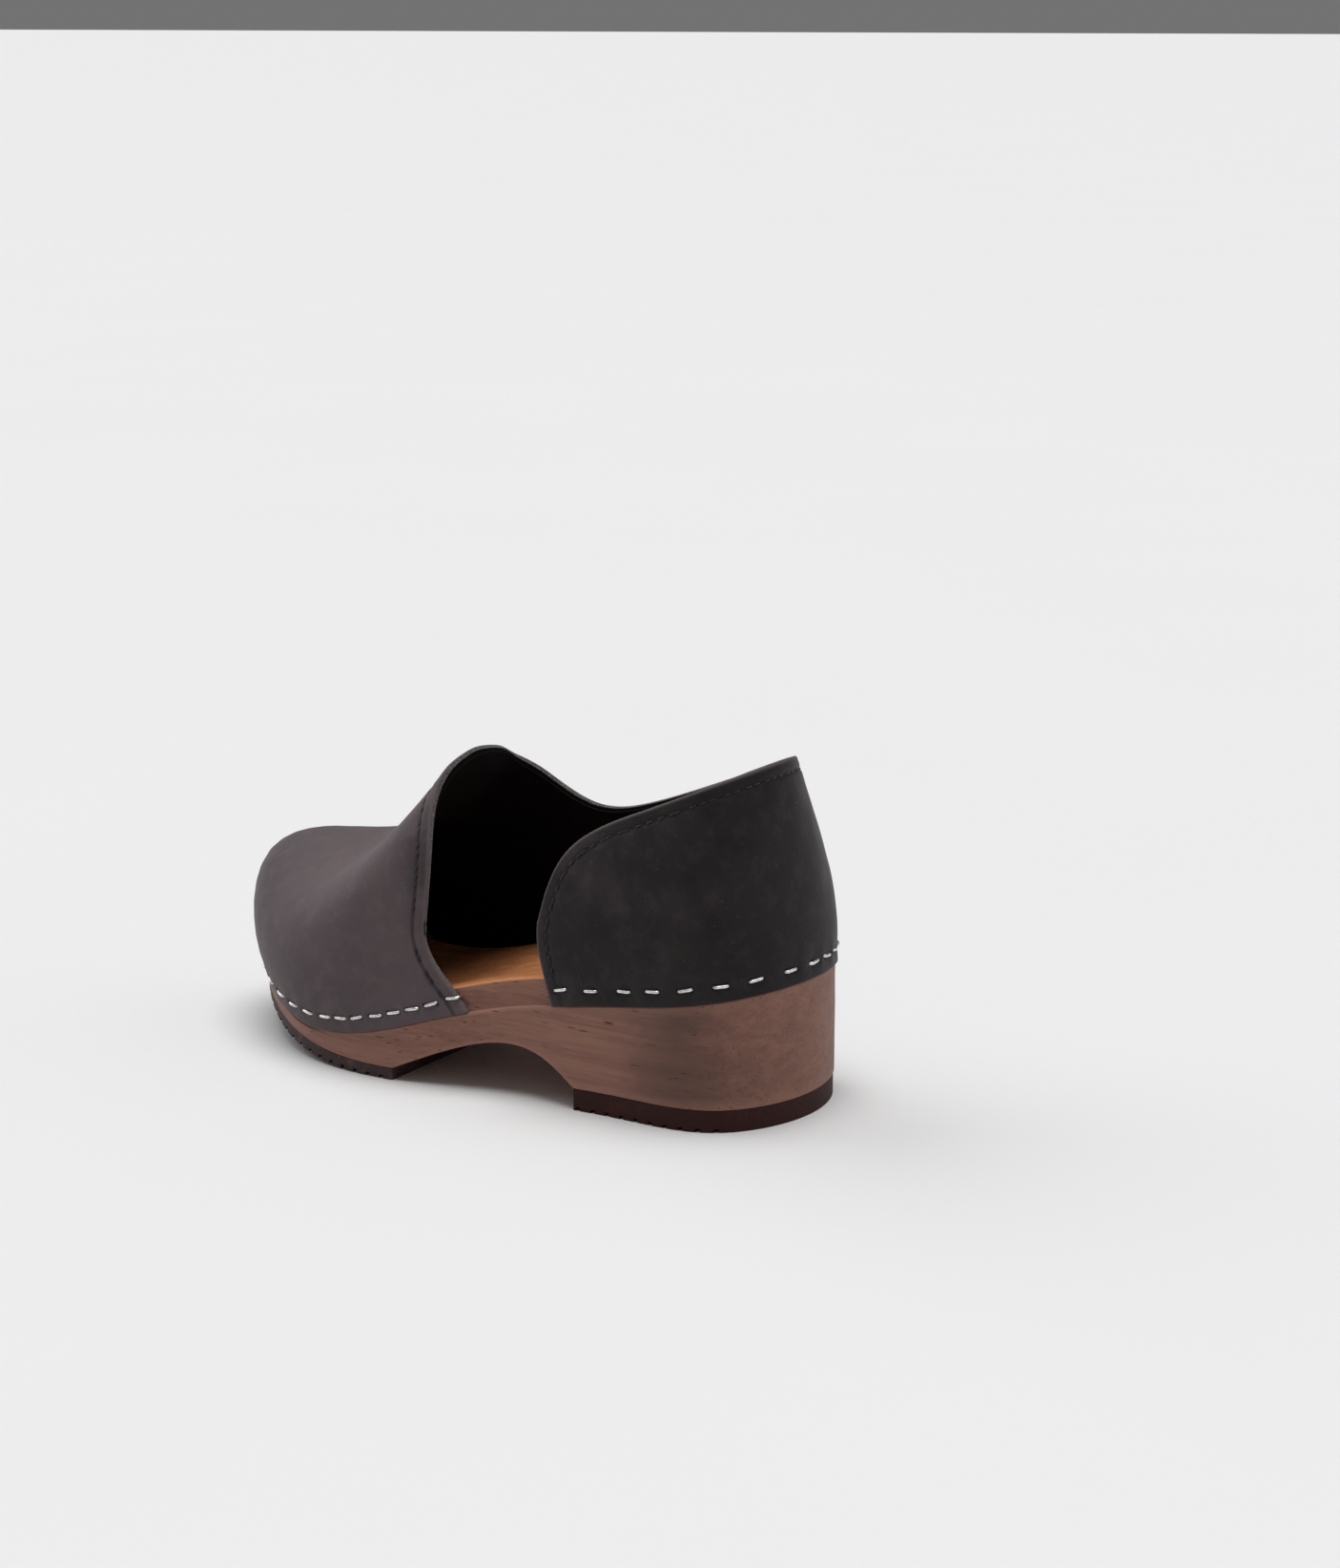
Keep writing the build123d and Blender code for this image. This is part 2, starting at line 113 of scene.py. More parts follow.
# The leather's upright lines round the foot: foot of the line on the ledge (x, y), then four guide points
# (x, y, z), the last of which lies on the opening's edge.
UPPER = [
    ((119, 44.5), (124, 45.3, 38), (131, 45.5, 43), (137, 45.3, 50), (137, 44.3, 60)),
    ((150, 49.5), (151, 52, 34), (150.5, 49.5, 49), (148.5, 46.5, 66), (138, 40, 83)),
    ((190, 45.5), (194, 50.5, 37), (184, 50, 59), (164, 38, 78), (143.5, 26, 108)),
    ((225, 24), (235.5, 32.5, 53), (215, 29.5, 75), (170.5, 17.5, 58), (142, 11, 117)),
    ((248, -11), (260.5, -10.5, 72), (239.5, -8.5, 93), (167, -2.5, 50), (140.5, 1, 118)),
    ((237, -37), (246.5, -44, 57), (224, -35, 80), (170, -19, 57), (141, -9, 116)),
    ((205, -47.5), (209, -53.5, 41.5), (198, -49.5, 67), (166, -35.5, 73), (141.5, -20, 111)),
    ((160, -46), (160.5, -49, 38.5), (157, -48.5, 59), (149.5, -41.5, 79), (134, -30, 103.5)),
    ((120, -38.5), (120, -40.5, 46), (119, -41, 62), (117, -39, 78), (112, -34.5, 92)),
    ((85, -36.5), (85, -38.5, 52), (85, -39, 67), (85, -38, 82), (85, -34.5, 97)),
    ((50, -41.5), (50, -43, 60), (50.5, -41.5, 78), (51.5, -37.5, 94), (52.5, -32, 110)),
    ((17, -38.5), (17, -39, 66), (19, -37, 85), (23.5, -30.5, 104), (27, -24, 121)),
    ((0, -1), (-0.5, -1, 68), (1.5, -0.5, 88), (7, 0, 108), (12, 0, 127.5)),
    ((18, 37.5), (17.5, 38.5, 66), (18, 37, 86), (20, 33, 105), (21.5, 28, 123.5)),
    ((50, 43), (50, 44, 60), (50.5, 43, 78), (51, 40, 94), (52, 35, 110.3)),
    ((70, 43), (71.5, 44, 54), (76, 43, 67), (80, 41, 79), (82, 38, 91)),
    ((84, 42.5), (86, 42.7, 44), (88.5, 42.8, 51), (91, 42.2, 58), (91, 41, 66)),
]
GAP_RIM = (101, 41.8)       # the sole's edge between the vamp and the quarter, where no leather is
GAP_STEP = 35.0             # how far apart the first and the last line count as lying there
NORMAL_MARGIN = 5.0         # the leather's slant at its ends is taken this far in, in the same measure

# Distances along the staple line, from the vamp's corner forwards and the quarter's corner backwards.
VAMP_STAPLES = [2, 11, 19, 27, 35, 44, 52, 60, 70, 80, 91, 103, 116]
QUARTER_STAPLES = [6, 19, 33, 45, 58, 71, 84, 99, 112]


# ---------------------------------------------------------------- curves of the shoe

def cubic_through(knots, values):
    """Smooth curve with free ends that passes through the values at the knots."""
    knots, values = np.asarray(knots, float), np.asarray(values, float)
    steps = np.diff(knots)
    size = len(knots)
    matrix, right = np.eye(size), np.zeros_like(values)
    for i in range(1, size - 1):
        matrix[i, i - 1:i + 2] = steps[i - 1], 2 * (steps[i - 1] + steps[i]), steps[i]
        right[i] = 6 * ((values[i + 1] - values[i]) / steps[i]
                        - (values[i] - values[i - 1]) / steps[i - 1])
    bend = np.linalg.solve(matrix, right)

    def curve(at):
        at = np.asarray(at, float)
        i = np.clip(np.searchsorted(knots, at) - 1, 0, size - 2)
        a, b, h = knots[i + 1] - at, at - knots[i], steps[i]
        if values.ndim > 1:
            a, b, h = a[..., None], b[..., None], h[..., None]
        return ((bend[i] * a ** 3 + bend[i + 1] * b ** 3) / (6 * h)
                + (values[i] / h - bend[i] * h / 6) * a + (values[i + 1] / h - bend[i + 1] * h / 6) * b)

    return curve


ledge_height = cubic_through(*zip(*LEDGE))
spring_height = cubic_through(*zip(*FOREFOOT_SPRING))
arch_height = cubic_through(*zip(*ARCH_CROWN))

rims = [np.array(line[0], float) for line in UPPER]
tops = [np.array(line[-1], float) for line in UPPER]
LINE_AT = np.r_[0, np.cumsum([np.linalg.norm(rims[i + 1] - rims[i])
                              + np.linalg.norm(tops[i + 1] - tops[i])
                              for i in range(len(UPPER) - 1)])]
END = LINE_AT[-1]
PERIOD = END + GAP_STEP
closed_rims = rims + [np.array(GAP_RIM, float)]
closed_at = np.r_[LINE_AT, END + GAP_STEP / 2]
outline_at = cubic_through(np.r_[closed_at[-3:] - PERIOD, closed_at, closed_at[:3] + PERIOD],
                           closed_rims[-3:] + closed_rims + closed_rims[:3])
guides_at = [cubic_through(LINE_AT, [line[i] for line in UPPER]) for i in range(1, 5)]


def unit(vectors):
    return vectors / np.linalg.norm(vectors, axis=-1, keepdims=True)


def run_along(points):
    """Distance run from the first point to each point of a line."""
    return np.r_[0, np.cumsum(np.linalg.norm(np.diff(points, axis=0), axis=1))]


def outward(at):
    """Unit vector in plan that points out of the sole's outline."""
    ahead = outline_at(np.asarray(at) + 0.5) - outline_at(np.asarray(at) - 0.5)
    return unit(np.stack([-ahead[..., 1], ahead[..., 0]], -1))


def leather(at, rise):
    """Point on the leather's outer face: place along it, and rise from 0 on the ledge to 1 at the top."""
    at, rise = np.broadcast_arrays(np.asarray(at, float), np.asarray(rise, float))
    rim = outline_at(at)
    foot = np.stack([rim[..., 0], rim[..., 1], ledge_height(rim[..., 0]) + SEAT], -1)
    guides = [foot] + [guide(at) for guide in guides_at]
    weights = [(1 - rise) ** 4, 4 * rise * (1 - rise) ** 3, 6 * rise ** 2 * (1 - rise) ** 2,
               4 * rise ** 3 * (1 - rise), rise ** 4]
    return sum(weight[..., None] * guide for weight, guide in zip(weights, guides))


def leather_normal(at, rise):
    """Unit vector out of the leather, taken a little inside the edges."""
    at, rise = np.clip(at, NORMAL_MARGIN, END - NORMAL_MARGIN), np.clip(rise, 0.02, 0.95)
    along = leather(at + 0.5, rise) - leather(at - 0.5, rise)
    up = leather(at, rise + 0.01) - leather(at, rise - 0.01)
    return unit(np.cross(up, along))


def under_height(x):
    """Lower face of the wood: flat heel, arch and toe spring."""
    x = np.asarray(x, float)
    arch = arch_height(np.clip(x, HEEL_FRONT, FOREFOOT_REAR))
    toe = spring_height(np.maximum(x, FOREFOOT_REAR)) + FOREFOOT_RUBBER
    return np.where(x < HEEL_FRONT, HEEL_RUBBER, np.where(x < FOREFOOT_REAR, arch, toe))


def footbed_height(x, y):
    """Footbed: level with the rabbet's top at the rim, hollow in the middle."""
    lengthwise = max(0.0, 1 - abs((x - DISH_MIDDLE[0]) / DISH_HALF[0]) ** 4)
    across = max(0.0, 1 - ((y - DISH_MIDDLE[1]) / DISH_HALF[1]) ** 2) ** 1.5
    return float(ledge_height(x)) + RABBET_HEIGHT - FOOTBED_DISH * lengthwise * across


every_at = np.linspace(0, PERIOD, 2000, endpoint=False)
wood_plan = outline_at(every_at) - LEATHER_PROUD * outward(every_at)
wood_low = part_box("wood_sole")[0]
SHIFT = np.array([wood_plan[:, 0].min() - wood_low.x / MM,
                  wood_plan[:, 1].min() - wood_low.y / MM, 0.0])


def placed(point):
    """A point of the shoe in millimetres, as a place in the frame."""
    return Vector((np.asarray(point, float) - SHIFT) * MM)


# ---------------------------------------------------------------- materials

def add(tree, kind, inputs=None, **settings):
    """A node with its settings, and its sockets linked or set."""
    node = tree.nodes.new(kind)
    for name, value in settings.items():
        setattr(node, name, value)
    for name, value in (inputs or {}).items():
        if isinstance(value, bpy.types.NodeSocket):
            tree.links.new(value, node.inputs[name])
        else:
            node.inputs[name].default_value = value
    return node


def effect(name, inputs, outputs):
    """A node group with named sockets."""
    tree = bpy.data.node_groups.new(name, "ShaderNodeTree")
    for label, kind, start in inputs:
        socket = tree.interface.new_socket(name=label, in_out="INPUT", socket_type=kind)
        if start is not None:
            socket.default_value = start
    for label in outputs:
        tree.interface.new_socket(name=label, in_out="OUTPUT", socket_type="NodeSocketFloat")
    return tree, tree.nodes.new("NodeGroupInput"), tree.nodes.new("NodeGroupOutput")


def maths(tree, operation, a, b=0.0):
    return add(tree, "ShaderNodeMath", {0: a, 1: b}, operation=operation).outputs[0]


def ramp(tree, value, low, high, to_low=0.0, to_high=1.0):
    """Smooth step of a value from low to high."""
    return add(tree, "ShaderNodeMapRange",
               {"Value": value, "From Min": low, "From Max": high, "To Min": to_low, "To Max": to_high},
               interpolation_type="SMOOTHSTEP").outputs[0]


VECTOR, FLOAT = "NodeSocketVector", "NodeSocketFloat"


def make_cloud():
    """Soft patches: a mask that is 1 where the noise is over High and 0 where it is under Low."""
    tree, given, made = effect("soft_patches", [("Vector", VECTOR, None), ("Scale", FLOAT, 40.0),
                                                ("Detail", FLOAT, 4.0), ("Low", FLOAT, 0.4),
                                                ("High", FLOAT, 0.6)], ["Mask"])
    cloud = add(tree, "ShaderNodeTexNoise",
                {"Vector": given.outputs["Vector"], "Scale": given.outputs["Scale"],
                 "Detail": given.outputs["Detail"], "Roughness": 0.6})
    tree.links.new(ramp(tree, cloud.outputs["Fac"], given.outputs["Low"], given.outputs["High"]),
                   made.inputs["Mask"])
    return tree


def make_grain():
    """Wood grain along x: fine fibres, darker bands, and open pores as short dashes."""
    tree, given, made = effect("wood_grain", [("Vector", VECTOR, None), ("Fineness", FLOAT, 1.0)],
                               ["Fibres", "Bands", "Pores"])
    sway = add(tree, "ShaderNodeTexNoise",
               {"Vector": given.outputs["Vector"], "Scale": 14.0, "Detail": 2.0})
    swayed = add(tree, "ShaderNodeVectorMath", {0: sway.outputs["Color"], 1: (0.0015, 0.0015, 0.0025)},
                 operation="MULTIPLY").outputs[0]
    moved = add(tree, "ShaderNodeVectorMath", {0: given.outputs["Vector"], 1: swayed},
                operation="ADD").outputs[0]
    sized = add(tree, "ShaderNodeVectorMath", {0: moved, "Scale": given.outputs["Fineness"]},
                operation="SCALE").outputs[0]
    drawn = {}
    for name, stretch in (("fibre", (38, 900, 900)), ("band", (5, 190, 330)), ("pore", (150, 1500, 1500))):
        drawn[name] = add(tree, "ShaderNodeVectorMath", {0: sized, 1: stretch},
                          operation="MULTIPLY").outputs[0]
    fibre = add(tree, "ShaderNodeTexNoise", {"Vector": drawn["fibre"], "Scale": 1.0, "Detail": 5.0,
                                             "Roughness": 0.65}).outputs["Fac"]
    band = add(tree, "ShaderNodeTexNoise", {"Vector": drawn["band"], "Scale": 1.0, "Detail": 4.0,
                                            "Roughness": 0.6}).outputs["Fac"]
    pore = add(tree, "ShaderNodeTexVoronoi", {"Vector": drawn["pore"], "Scale": 0.55}).outputs["Distance"]
    thin = add(tree, "ShaderNodeTexNoise",
               {"Vector": drawn["band"], "Scale": 2.3, "Detail": 1.0}).outputs["Fac"]
    open_here = ramp(tree, thin, 0.42, 0.62)
    tree.links.new(ramp(tree, fibre, 0.32, 0.68), made.inputs["Fibres"])
    tree.links.new(ramp(tree, band, 0.38, 0.62), made.inputs["Bands"])
    tree.links.new(maths(tree, "MULTIPLY", ramp(tree, pore, 0.24, 0.12), open_here), made.inputs["Pores"])
    return tree


def make_hide():
    """Leather surface: a fine pebble and the nap between it, as one height."""
    tree, given, made = effect("hide_grain", [("Vector", VECTOR, None), ("Pebble", FLOAT, 900.0)],
                               ["Height"])
    cells = add(tree, "ShaderNodeTexVoronoi", {"Vector": given.outputs["Vector"],
                                               "Scale": given.outputs["Pebble"]}).outputs["Distance"]
    nap = add(tree, "ShaderNodeTexNoise", {"Vector": given.outputs["Vector"], "Scale": 2600.0,
                                           "Detail": 3.0}).outputs["Fac"]
    height = maths(tree, "ADD", maths(tree, "MULTIPLY", cells, 0.6), maths(tree, "MULTIPLY", nap, 0.7))
    tree.links.new(height, made.inputs["Height"])
    return tree


soft_patches, wood_grain, hide_grain = make_cloud(), make_grain(), make_hide()


def use(tree, group, inputs):
    """The outputs of a node group."""
    return add(tree, "ShaderNodeGroup", inputs, node_tree=group).outputs


def patches(tree, place, scale, low, high, detail=4.0):
    return use(tree, soft_patches, {"Vector": place, "Scale": scale, "Detail": detail,
                                    "Low": low, "High": high})["Mask"]


def mix(tree, mask, a, b):
    """Colour a turning into colour b where the mask is 1."""
    return add(tree, "ShaderNodeMix", {0: mask, 6: a, 7: b}, data_type="RGBA").outputs[2]


def rgb(red, green, blue):
    """Colour from its screen values."""
    def linear(c):
        c /= 255
        return c / 12.92 if c <= 0.04045 else ((c + 0.055) / 1.055) ** 2.4
    return (linear(red), linear(green), linear(blue), 1.0)


def material(name, **constants):
    """Material with its shader, and its Object coordinates."""
    made = bpy.data.materials.new(name)
    made.use_nodes = True
    tree = made.node_tree
    shader = tree.nodes["Principled BSDF"]
    for socket, value in constants.items():
        shader.inputs[socket.replace("_", " ")].default_value = value
    place = tree.nodes.new("ShaderNodeTexCoord").outputs["Object"]
    return made, tree, shader, place


def finish_shader(tree, shader, colour, roughness, height, depth, strength=1.0):
    """Colour, roughness and bump of a finished material."""
    tree.links.new(colour, shader.inputs["Base Color"])
    tree.links.new(roughness, shader.inputs["Roughness"])
    bump = add(tree, "ShaderNodeBump", {"Height": height, "Distance": depth, "Strength": strength})
    tree.links.new(bump.outputs["Normal"], shader.inputs["Normal"])


def attribute(tree, name):
    return add(tree, "ShaderNodeAttribute", attribute_name=name).outputs["Fac"]


def lengthwise(tree, place):
    """The frame's x, from heel to toe, in metres."""
    return add(tree, "ShaderNodeSeparateXYZ", {0: place}).outputs["X"]


# Places along the clog, in metres of the frame, between which the nubuck turns lighter towards the vamp as
# painted light, the painted light on the strip over the instep comes and goes, and the heel's wood darkens
# in a band.
PAINTED_LIGHT_SPAN = (-0.10, 0.05)
PAINTED_LIGHT_DRIFT = 0.03        # how far the noise moves those places
PAINTED_STRIP_IN, PAINTED_STRIP_OUT = (-0.04, 0.03), (0.12, 0.03)
HEEL_BAND_MIDDLE = -0.095
HEEL_BAND_REACH = 0.042


def make_nubuck():
    made, tree, shader, place = material("nubuck", Specular_IOR_Level=0.22, Sheen_Weight=0.12,
                                         Sheen_Roughness=0.4, Sheen_Tint=(0.95, 0.86, 0.88, 1))
    clouds = patches(tree, place, 32.0, 0.38, 0.64, 7.0)
    dust = patches(tree, place, 150.0, 0.46, 0.70, 8.0)
    specks = patches(tree, place, 620.0, 0.70, 0.78, 2.0)
    edge = attribute(tree, "from_edge")
    worn = ramp(tree, edge, 1.6, 0.2)
    # mask along the seam, for the painted shade in its groove
    from_seam = maths(tree, "ABSOLUTE", maths(tree, "SUBTRACT", edge, STITCH_INSET))
    seam = ramp(tree, from_seam, 1.1, 0.3)
    drift = add(tree, "ShaderNodeTexNoise",
                {"Vector": place, "Scale": 16.0, "Detail": 5.0}).outputs["Fac"]
    along = maths(tree, "ADD", lengthwise(tree, place),
                  ramp(tree, drift, 0.3, 0.7, -PAINTED_LIGHT_DRIFT, PAINTED_LIGHT_DRIFT))
    # painted light: the nubuck is drawn lighter towards the vamp and toe and darker on the quarter, for the
    # light and sheen that fall on them
    painted_light = ramp(tree, along, *PAINTED_LIGHT_SPAN)
    # painted light: a lighter strip over the instep
    painted_strip_light = maths(tree, "MULTIPLY", ramp(tree, along, *PAINTED_STRIP_IN), ramp(tree, along, *PAINTED_STRIP_OUT))
    dark = mix(tree, clouds, rgb(22, 18, 19), rgb(36, 31, 32))
    colour = mix(tree, painted_light, dark, mix(tree, clouds, rgb(62, 53, 56), rgb(80, 70, 73)))
    colour = mix(tree, maths(tree, "MULTIPLY", painted_strip_light, 0.42), colour, rgb(106, 92, 95))
    dusty = maths(tree, "MULTIPLY", dust, ramp(tree, painted_light, 0.0, 1.0, 0.06, 0.18))
    colour = mix(tree, dusty, colour, rgb(118, 104, 106))
    colour = mix(tree, maths(tree, "MULTIPLY", specks, 0.22), colour, rgb(126, 118, 116))
    colour = mix(tree, maths(tree, "MULTIPLY", worn, 0.6), colour, rgb(104, 95, 95))
    # painted shade: the nubuck darkened along the seam's groove
    colour = mix(tree, maths(tree, "MULTIPLY", seam, 0.5), colour, rgb(18, 16, 17))
    # painted shade: the nubuck drawn near black in the staples' pits
    colour = mix(tree, ramp(tree, attribute(tree, "staple_pit"), 0.15, 0.75), colour, rgb(7, 6, 6))
    pebble = use(tree, hide_grain, {"Vector": place, "Pebble": 1000.0})["Height"]
    height = maths(tree, "ADD", maths(tree, "MULTIPLY", pebble, 0.5),
                   maths(tree, "MULTIPLY", clouds, 0.2))
    finish_shader(tree, shader, colour, ramp(tree, clouds, 0.0, 1.0, 0.58, 0.70), height, 0.00022, 0.6)
    return made


def make_flesh():
    made, tree, shader, place = material("inner_leather", Specular_IOR_Level=0.08)
    fibres = patches(tree, place, 900.0, 0.35, 0.7, 5.0)
    colour = mix(tree, fibres, rgb(9, 8, 8), rgb(17, 15, 16))
    finish_shader(tree, shader, colour, ramp(tree, fibres, 0.0, 1.0, 0.8, 0.95), fibres, 0.0003, 0.6)
    return made


def make_cut_edge():
    made, tree, shader, place = material("cut_leather_edge", Specular_IOR_Level=0.3, Sheen_Weight=0.3)
    fibres = patches(tree, place, 1300.0, 0.35, 0.65, 5.0)
    layers = patches(tree, place, 240.0, 0.4, 0.6, 3.0)
    colour = mix(tree, fibres, rgb(50, 44, 45), rgb(122, 112, 110))
    colour = mix(tree, maths(tree, "MULTIPLY", layers, 0.4), colour, rgb(66, 58, 58))
    finish_shader(tree, shader, colour, ramp(tree, fibres, 0.0, 1.0, 0.8, 0.95), fibres, 0.0004, 0.8)
    return made


def make_thread():
    made, tree, shader, place = material("thread", Specular_IOR_Level=0.35, Sheen_Weight=0.2)
    strands = add(tree, "ShaderNodeTexWave", {"Vector": place, "Scale": 500.0, "Distortion": 2.0,
                                              "Detail": 1.0}, bands_direction="DIAGONAL").outputs["Fac"]
    colour = mix(tree, strands, rgb(9, 9, 10), rgb(24, 23, 25))
    finish_shader(tree, shader, colour, ramp(tree, strands, 0.0, 1.0, 0.6, 0.75), strands, 0.00015, 0.7)
    return made


def make_steel(name, bright, dull, stain):
    made, tree, shader, place = material(name, Metallic=1.0)
    tarnish = patches(tree, place, 700.0, 0.42, 0.68, 4.0)
    stained = patches(tree, place, 260.0, 0.62, 0.74, 4.0)
    colour = mix(tree, tarnish, bright, dull)
    colour = mix(tree, maths(tree, "MULTIPLY", stained, 0.6), colour, stain)
    finish_shader(tree, shader, colour, ramp(tree, tarnish, 0.0, 1.0, 0.30, 0.5), tarnish, 0.00008, 0.5)
    return made


def make_wood_finish(name, base, light, dark, pore, shine, figure=0.0, deep=0.0):
    """Sealed wood: fibres and bands along the sole, open pores, and patches where the stain took.

    Shine is the roughness of its smoothest part, figure adds to the patches, and deep is how far the wood
    darkens in a band round the heel."""
    made, tree, shader, place = material(name, Specular_IOR_Level=0.4)
    grain = use(tree, wood_grain, {"Vector": place, "Fineness": 1.0})
    blotch = patches(tree, place, 34.0, 0.36, 0.66, 5.0)
    worn = attribute(tree, "soft_edge")
    colour = mix(tree, maths(tree, "MULTIPLY", grain["Bands"], 0.5), base, dark)
    colour = mix(tree, maths(tree, "MULTIPLY", grain["Fibres"], 0.38), colour, light)
    colour = mix(tree, maths(tree, "MULTIPLY", blotch, 0.18 + figure), colour, dark)
    # the wood is drawn darker in a band round the heel's middle, broken up by the patches
    heel = maths(tree, "ABSOLUTE", maths(tree, "ADD", lengthwise(tree, place), -HEEL_BAND_MIDDLE))
    heel_band = maths(tree, "MULTIPLY", ramp(tree, heel, HEEL_BAND_REACH, 0.0, 0.0, deep),
                   ramp(tree, blotch, -0.8, 0.8))
    colour = mix(tree, heel_band, colour, pore)
    colour = mix(tree, maths(tree, "MULTIPLY", worn, 0.45), colour, light)
    colour = mix(tree, maths(tree, "MULTIPLY", grain["Pores"], 0.85), colour, pore)
    height = maths(tree, "SUBTRACT", maths(tree, "MULTIPLY", grain["Fibres"], 0.35), grain["Pores"])
    finish_shader(tree, shader, colour, ramp(tree, grain["Fibres"], 0.0, 1.0, shine, shine + 0.14),
                  height, 0.0002, 0.7)
    return made


def make_rubber(name, base, scuffed):
    made, tree, shader, place = material(name, Specular_IOR_Level=0.18)
    scuffs = patches(tree, place, 130.0, 0.5, 0.72, 6.0)
    crumbs = patches(tree, place, 1100.0, 0.4, 0.7, 3.0)
    colour = mix(tree, maths(tree, "MULTIPLY", scuffs, 0.7), base, scuffed)
    colour = mix(tree, maths(tree, "MULTIPLY", crumbs, 0.18), colour, scuffed)
    finish_shader(tree, shader, colour, ramp(tree, scuffs, 0.0, 1.0, 0.6, 0.8), crumbs, 0.00025, 0.6)
    return made


def make_floor_finish():
    made, tree, shader, place = material("plain_floor", Specular_IOR_Level=0.1)
    tone = patches(tree, place, 3.0, 0.3, 0.7, 2.0)
    colour = mix(tree, tone, (0.80, 0.80, 0.80, 1), (0.805, 0.805, 0.805, 1))
    finish_shader(tree, shader, colour, ramp(tree, tone, 0.0, 1.0, 0.9, 0.92), tone, 0.00001, 0.1)
    return made


nubuck, flesh_side, cut_edge, thread = make_nubuck(), make_flesh(), make_cut_edge(), make_thread()
staple_wire = make_steel("staple_wire", (0.92, 0.91, 0.90, 1), (0.66, 0.64, 0.63, 1),
                         (0.40, 0.31, 0.25, 1))
nail_steel = make_steel("nail_steel", (0.50, 0.49, 0.48, 1), (0.30, 0.29, 0.28, 1),
                        (0.22, 0.15, 0.11, 1))
stained_wood = make_wood_finish("stained_wood", rgb(142, 98, 83), rgb(166, 122, 104), rgb(106, 68, 57),
                                rgb(44, 26, 22), 0.50, deep=0.55)
footbed_wood = make_wood_finish("footbed_wood", rgb(202, 130, 84), rgb(226, 160, 108), rgb(150, 86, 50),
                                rgb(62, 34, 22), 0.42, 0.2)
heel_rubber = make_rubber("heel_rubber", rgb(50, 23, 20), rgb(76, 44, 39))
forefoot_rubber = make_rubber("forefoot_rubber", rgb(66, 50, 50), rgb(110, 94, 92))


# ---------------------------------------------------------------- pieces

def only(kind, geom):
    """The elements of one kind in what a mesh operator gives back."""
    return [g for g in geom if isinstance(g, kind)]


def extruded(bm, edges):
    """The verts, edges and faces that extruding these edges makes, with the edges those of the far end."""
    out = bmesh.ops.extrude_edge_only(bm, edges=list(edges))["geom"]
    verts = only(bmesh.types.BMVert, out)
    far = set(verts)
    far_edges = [e for e in only(bmesh.types.BMEdge, out) if all(vert in far for vert in e.verts)]
    return verts, far_edges, only(bmesh.types.BMFace, out)


def finished(bm, name, materials, slot, *nodes):
    """The finished piece, riding on the clog in place of its CAD nodes."""
    mesh = bpy.data.meshes.new(name)
    bm.to_mesh(mesh)
    bm.free()
    mesh.shade_smooth()
    piece = bpy.data.objects.new(name, mesh)
    bpy.context.scene.collection.objects.link(piece)
    for finish in materials:
        mesh.materials.append(finish)
    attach(piece, "root")
    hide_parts(*nodes)
    return piece


SEAM_FROM, SEAM_TO = 0.16, 0.2      # rise where the seam starts on the vamp and ends on the quarter
SETTLE_STEPS = 6
AT_NUDGE, RISE_NUDGE = 0.1, 0.001


def opening_edge():
    """Places (at, rise) along the opening's edge, from the vamp's corner to the quarter's corner."""
    vamp = [(0.0, rise) for rise in np.linspace(SEAM_FROM, 1, 12)]
    top = [(at, 1.0) for at in np.linspace(0, END, 240)[1:-1]]
    quarter = [(END, rise) for rise in np.linspace(1, SEAM_TO, 12)]
    return vamp + top + quarter


def settle(target, at, rise):
    """Place on the leather's outer face that is nearest to a target point."""
    for _ in range(SETTLE_STEPS):
        here = leather(at, rise)
        moves = np.array([leather(at + AT_NUDGE, rise) - here, leather(at, rise + RISE_NUDGE) - here]).T
        step = np.linalg.lstsq(moves, target - here, rcond=0.02)[0]
        at = float(np.clip(at + AT_NUDGE * step[0], 0, END))
        rise = float(np.clip(rise + RISE_NUDGE * step[1], 0, 1))
    return at, rise


def along_edge(inset, pitch, margin):
    """Places at this inset from the opening's edge and this pitch along it, with the edge's direction."""
    places = opening_edge()
    points = np.array([leather(at, rise) for at, rise in places])
    run = run_along(points)
    found = []
    for s in np.arange(margin, run[-1] - margin, pitch):
        i = int(np.searchsorted(run, s))
        at, rise = places[i]
        along = unit(points[min(i + 1, len(points) - 1)] - points[i - 1])
        inward = np.cross(leather_normal(at, rise), along)
        found.append((settle(points[i] + inset * inward, at, rise), along))
    return found


def staple_rise(at):
    """Rise at which the leather is the staples' height above the ledge."""
    rises = np.linspace(0, 0.5, 20)
    heights = leather(at, rises)[:, 2] - leather(at, 0)[2]
    return float(np.interp(STAPLE_HEIGHT, heights, rises))


def staple_places():
    """Where the staples are along the leather, for each of the three rows."""
    dense = np.linspace(0, END, 400)
    run = run_along(leather(dense, [staple_rise(at) for at in dense]))
    quarter = [run[-1] - s for s in QUARTER_STAPLES]
    start, stop = VAMP_STAPLES[-1], quarter[-1]
    count = int(round((stop - start) / STAPLE_PITCH))
    medial = [start + (stop - start) * i / count for i in range(1, count)]
    return [[float(np.interp(s, run, dense)) for s in row] for row in (VAMP_STAPLES, medial, quarter)]


staple_rows = staple_places()
staple_centres = [(at, staple_rise(at)) for row in staple_rows for at in row]

